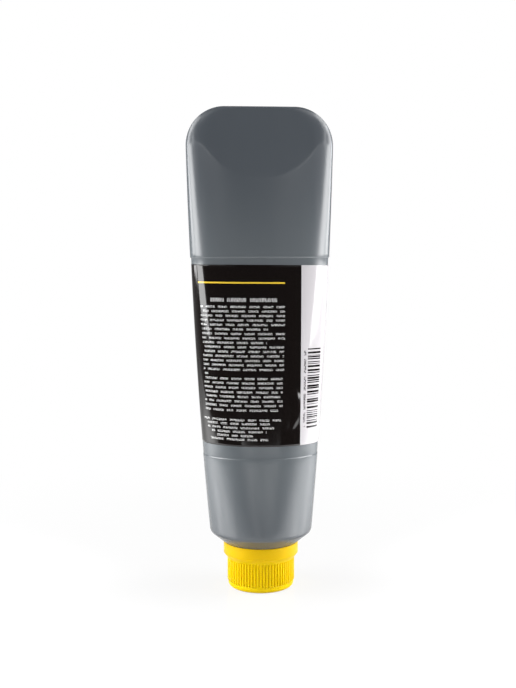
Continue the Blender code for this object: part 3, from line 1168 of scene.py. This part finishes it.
@dataclass(frozen=True)
class FoamedPE:
    """Foamed polyethylene sheet: chalky white, matt, pitted by its cells, whose pits are painted darker
    as painted shade.
    """

    tone: str = "#eceae4"
    pit_shade: str = "#d9d6cd"
    ior: float = 1.51
    roughness: float = 0.75
    cell: float = 0.35 * MM
    cell_height: float = 0.05 * MM

    def build(self) -> Material:
        """Make the material.

        Returns:
            The finished material.
        """
        material, add = start_material("foamed_PE_sheet")
        place = add("TexCoord").outputs["Object"]
        cells = add("TexVoronoi", Vector=place, Scale=1.0 / self.cell)
        # Painted shade: the pits of the cells are painted darker.
        tone = add("Mix", cells, *MIX_SKIP, linear(self.pit_shade), linear(self.tone), data_type="RGBA")
        return end_material(material, cells, self.cell_height,
                            Base_Color=tone.outputs[MIX_COLOUR], IOR=self.ior, Roughness=self.roughness)


@dataclass(frozen=True)
class SealFoil:
    """Rolled aluminium foil under a sealing lacquer: bright, drawn out in fine parallel rolling lines."""

    tone: str = "#dcdcdc"
    # Finer on real foil, and drawn as coarse as they need to show.
    line_width: float = 0.25 * MM
    line_length: float = 12.0 * MM
    line_height: float = 0.004 * MM
    roughness: Span = (0.2, 0.38)

    def build(self) -> Material:
        """Make the material.

        Returns:
            The finished material.
        """
        material, add = start_material("rolled_aluminium_foil")
        place = add("TexCoord").outputs["Object"]
        across, along = 1.0 / self.line_width, 1.0 / self.line_length
        rolled = add("Mapping", Vector=place, Scale=(along, across, across))
        lines = add("TexNoise", Vector=rolled, Scale=1.0, Detail=3.0)
        gloss = add("MapRange", lines, *NOISE_RANGE, *self.roughness)
        return end_material(material, lines, self.line_height,
                            Base_Color=linear(self.tone), Metallic=1.0, Roughness=gloss)


@dataclass(frozen=True)
class GraphiteGrease:
    """Calcium grease with graphite: near black, wet gloss broken by soft folds and lighter flakes, whose
    lighter grey is partly their own and partly a painted glint.
    """

    tone: str = "#1d1e1f"
    flake_and_glint: str = "#3c3e40"
    ior: float = 1.48
    fold: float = 6.0 * MM
    fold_height: float = 0.4 * MM
    # Real flakes are finer, and are drawn as coarse as they need to show.
    flake_size: float = 0.6 * MM
    flake_edge: Span = (0.1, 0.3)
    roughness: Span = (0.28, 0.45)

    def build(self) -> Material:
        """Make the material.

        Returns:
            The finished material.
        """
        material, add = start_material("graphite_grease")
        place = add("TexCoord").outputs["Object"]
        flakes = add("TexVoronoi", Vector=place, Scale=1.0 / self.flake_size)
        share = add("MapRange", flakes, *self.flake_edge, 1.0, 0.0)
        # The flakes are painted a lighter grey, partly their own colour and partly a painted glint.
        tone = add("Mix", share, *MIX_SKIP, linear(self.tone), linear(self.flake_and_glint), data_type="RGBA")
        folds = add("TexNoise", Vector=place, Scale=1.0 / self.fold, Detail=3.0)
        gloss = add("MapRange", folds, *NOISE_RANGE, *self.roughness)
        return end_material(material, folds, self.fold_height,
                            Base_Color=tone.outputs[MIX_COLOUR], IOR=self.ior, Roughness=gloss)


class Side(Enum):
    """The two sides of the studio, as signs of X."""

    LEFT = -1.0
    RIGHT = 1.0


@dataclass(frozen=True)
class Softbox:
    """A diffusing panel, turned and leant towards the tube by angles in degrees.

    Its level is its brightness, where 1 is white.
    """

    name: str
    turn: float
    width: float
    height: float
    middle: float
    level: float
    distance: float = 0.72
    lean: float = 0.0

    def build(self, side: Side) -> None:
        """Stand the panel at one side, hidden from the camera.

        An even panel of area A sends out a power of pi A times its brightness.

        Args:
            side: Side of the studio.
        """
        data = bpy.data.lights.new(f"{self.name}_{side.name.lower()}", "AREA")
        data.shape = "RECTANGLE"
        data.size, data.size_y = self.width, self.height
        data.energy = math.pi * self.width * self.height * self.level
        lamp = bpy.data.objects.new(data.name, data)
        turn = side.value * math.radians(self.turn)
        lamp.location = (self.distance * math.sin(turn), -self.distance * math.cos(turn), self.middle)
        lamp.rotation_euler = (math.pi / 2 - math.radians(self.lean), 0.0, turn)
        lamp.visible_camera = False
        bpy.context.scene.collection.objects.link(lamp)


@dataclass
class Studio:
    """White table and background, softboxes on either side, and the camera of the picture.

    The floor's front and back are x and y of the left and right ends of those edges.
    The fall, back and front of the glow are where each starts and ends and the share that it leaves,
    and the floor's lift is where it starts and ends and its least share of white.
    """

    boxes: tuple[Softbox, ...] = (
        Softbox("strip_front", 72.5, 0.31, 0.28, 0.25, 10.0),
        Softbox("strip_back", 99.5, 0.28, 0.25, 0.265, 9.5),
        Softbox("strip_upper", 89.0, 0.38, 0.36, 0.57, 6.8, 0.72, 24.0),
        Softbox("strip_inner", 55.0, 0.14, 0.3, 0.5, 4.0, 0.72, 20.0),
        Softbox("rim_side", 88.0, 0.55, 0.25, 0.72, 5.2, 0.5, 44.0),
        Softbox("rim_front", 48.0, 0.36, 0.16, 0.84, 1.7, 0.46, 52.0),
        Softbox("fill_front", 30.0, 0.5, 0.14, 0.46, 1.2, 0.72, 18.0),
        Softbox("low_front", 13.0, 0.3, 0.04, 0.042, 3.7),
    )
    floor_front: tuple[float, ...] = (-0.52, -0.145, 0.5, -0.28)
    floor_back: tuple[float, ...] = (-0.8, 0.58, 0.9, 0.42)
    floor_tone: str = "#d6d6d6"
    floor_gloss: float = 0.12
    floor_ior: float = 1.49
    floor_lift: tuple[float, float, float] = (0.08, 0.34, 0.85)
    glow: float = 2.7
    glow_rise: Span = (0.03, 0.3)
    glow_fall: tuple[float, float, float] = (0.42, 0.62, 0.3)
    glow_back: tuple[float, float, float] = (0.15, 0.75, 0.03)
    glow_front: tuple[float, float, float] = (-0.03, -0.085, 0.45)
    glow_right: Span = (0.0, 0.15)
    glow_forward: float = 0.15
    glow_nearer: float = 0.03
    white_level: float = 1.0
    back_level: float = 0.3
    back_span: Span = (-0.15, 0.65)
    front_level: float = 0.04
    focal_pixels: float = 1050.0
    sensor: float = 36.0
    camera_turn: float = math.radians(-5.0)
    camera_distance: float = 545.5 * MM
    camera_height: float = 173.3 * MM
    camera_pitch: float = math.radians(4.74)
    camera_roll: float = math.radians(-0.16)
    axis_column: float = 260.27

    def build_camera(self) -> None:
        """Stand the camera in front of the back of the label, looking slightly down.

        The tube's axis shows to the right of the middle of the picture, so the camera stands to the
        left by that many pixels at the axis' distance.
        """
        data = bpy.data.cameras.new("camera")
        data.sensor_width = self.sensor
        data.lens = self.sensor * self.focal_pixels / IMAGE_HEIGHT
        camera = bpy.data.objects.new("camera", data)
        aside = (self.axis_column - IMAGE_WIDTH / 2) * self.camera_distance / self.focal_pixels
        sine, cosine = math.sin(self.camera_turn), math.cos(self.camera_turn)
        camera.location = (
            self.camera_distance * sine - aside * cosine,
            -self.camera_distance * cosine - aside * sine,
            self.camera_height,
        )
        aim = Euler((math.pi / 2 - self.camera_pitch, 0.0, self.camera_turn)).to_quaternion()
        camera.rotation_mode = "QUATERNION"
        camera.rotation_quaternion = aim @ Quaternion((0.0, 0.0, 1.0), self.camera_roll)
        bpy.context.scene.collection.objects.link(camera)
        bpy.context.scene.camera = camera
        LOG.info("camera: %.1f mm lens, %.0f mm away", data.lens, self.camera_distance / MM)

    def painted_floor_light(self, add: Adder, place: NodeSocket, away: NodeSocket) -> Node:
        """Brightness of the light painted on the floor as a glow of its own, which the tube mirrors.

        It is painted low near the tube, as a painted shadow round it, and rises with the distance from
        the tube and falls off again farther out. It is weak behind the tube, by the sine of the
        direction, and in front of a straight edge across the floor. On the right that edge lies farther
        forward and the rise nearer.

        Args:
            add: Adds a node to the floor's material.
            place: Point on the floor.
            away: Its distance from the tube's axis.

        Returns:
            The brightness.
        """
        x, y = add("SeparateXYZ", place).outputs[:2]
        right = add("MapRange", x, *self.glow_right, **SMOOTH)
        nearer = add("Math", right, self.glow_nearer, away, operation="MULTIPLY_ADD")
        level = add("MapRange", nearer, *self.glow_rise, 0.0, self.glow, **SMOOTH)
        sine = add("Math", y, away, operation="DIVIDE")
        forward = add("Math", right, self.glow_forward, y, operation="MULTIPLY_ADD")
        laws = ((away, self.glow_fall), (sine, self.glow_back), (forward, self.glow_front))
        for value, (start, end, left) in laws:
            share = add("MapRange", value, start, end, 1.0, left, **SMOOTH)
            level = add("Math", level, share, operation="MULTIPLY")
        return level

    def build_floor(self) -> None:
        """Lay a pale floor that keeps the object's shadow and turns white to the camera farther out."""
        corners = np.array([self.floor_front, self.floor_back]).reshape(2, 2, 2)
        grid = np.concatenate([corners, np.zeros((2, 2, 1))], axis=-1)
        floor = grid_object("floor", grid, wrap=False, crease=30.0)
        material, add = start_material("paper_floor")
        paper = add("BsdfPrincipled", Base_Color=linear(self.floor_tone), Roughness=self.floor_gloss,
                    IOR=self.floor_ior)
        place = add("TexCoord").outputs["Object"]
        away = add("VectorMath", place, operation="LENGTH").outputs["Value"]
        # Painted light: the floor glows of itself, low near the tube as a painted shadow round it.
        glow = add("Emission", Strength=self.painted_floor_light(add, place, away))
        lit = add("AddShader", paper, glow)
        white = add("Emission", Strength=self.white_level)
        seen = add("LightPath").outputs["Is Camera Ray"]
        lift = add("MapRange", away, *self.floor_lift, **SMOOTH)
        lift = add("Math", seen, lift, operation="MULTIPLY")
        add("OutputMaterial", Surface=add("MixShader", lift, lit, white))
        floor.data.materials.append(material)

    def build_world(self) -> None:
        """Make the background white to the camera, and grey behind and dark in front to all else."""
        world = bpy.data.worlds.new("studio")
        world.use_nodes = True
        world.node_tree.nodes.clear()
        add = partial(add_node, world.node_tree)
        way = add("TexCoord").outputs["Generated"]
        y = add("SeparateXYZ", way).outputs["Y"]
        behind = add("MapRange", y, *self.back_span, self.front_level, self.back_level, **SMOOTH)
        seen = add("LightPath").outputs["Is Camera Ray"]
        level = add("Math", behind, seen, operation="MAXIMUM")
        add("OutputWorld", Surface=add("Background", Color=(1.0, 1.0, 1.0, 1.0), Strength=level))
        bpy.context.scene.world = world

    def build(self) -> None:
        """Set the stage."""
        bpy.context.scene.view_settings.view_transform = "Standard"
        self.build_camera()
        self.build_floor()
        self.build_world()
        for box in self.boxes:
            for side in Side:
                box.build(side)
        LOG.info("studio: table, background and %d softboxes", len(self.boxes) * len(Side))


def main() -> None:
    """Build the tube, its label, cap and contents, and the studio round them."""
    logging.basicConfig(level=logging.INFO, format="%(name)s: %(message)s")
    form = TubeForm()
    thread = Thread()
    for part in (
        MouldedTube(form, thread),
        WrapLabel(form, PrintLayout()),
        RibbedCap(thread),
        CapWad(form),
        FoilSeal(form),
        GreaseFill(form),
        Studio(),
    ):
        part.build()


if __name__ == "__main__":
    main()
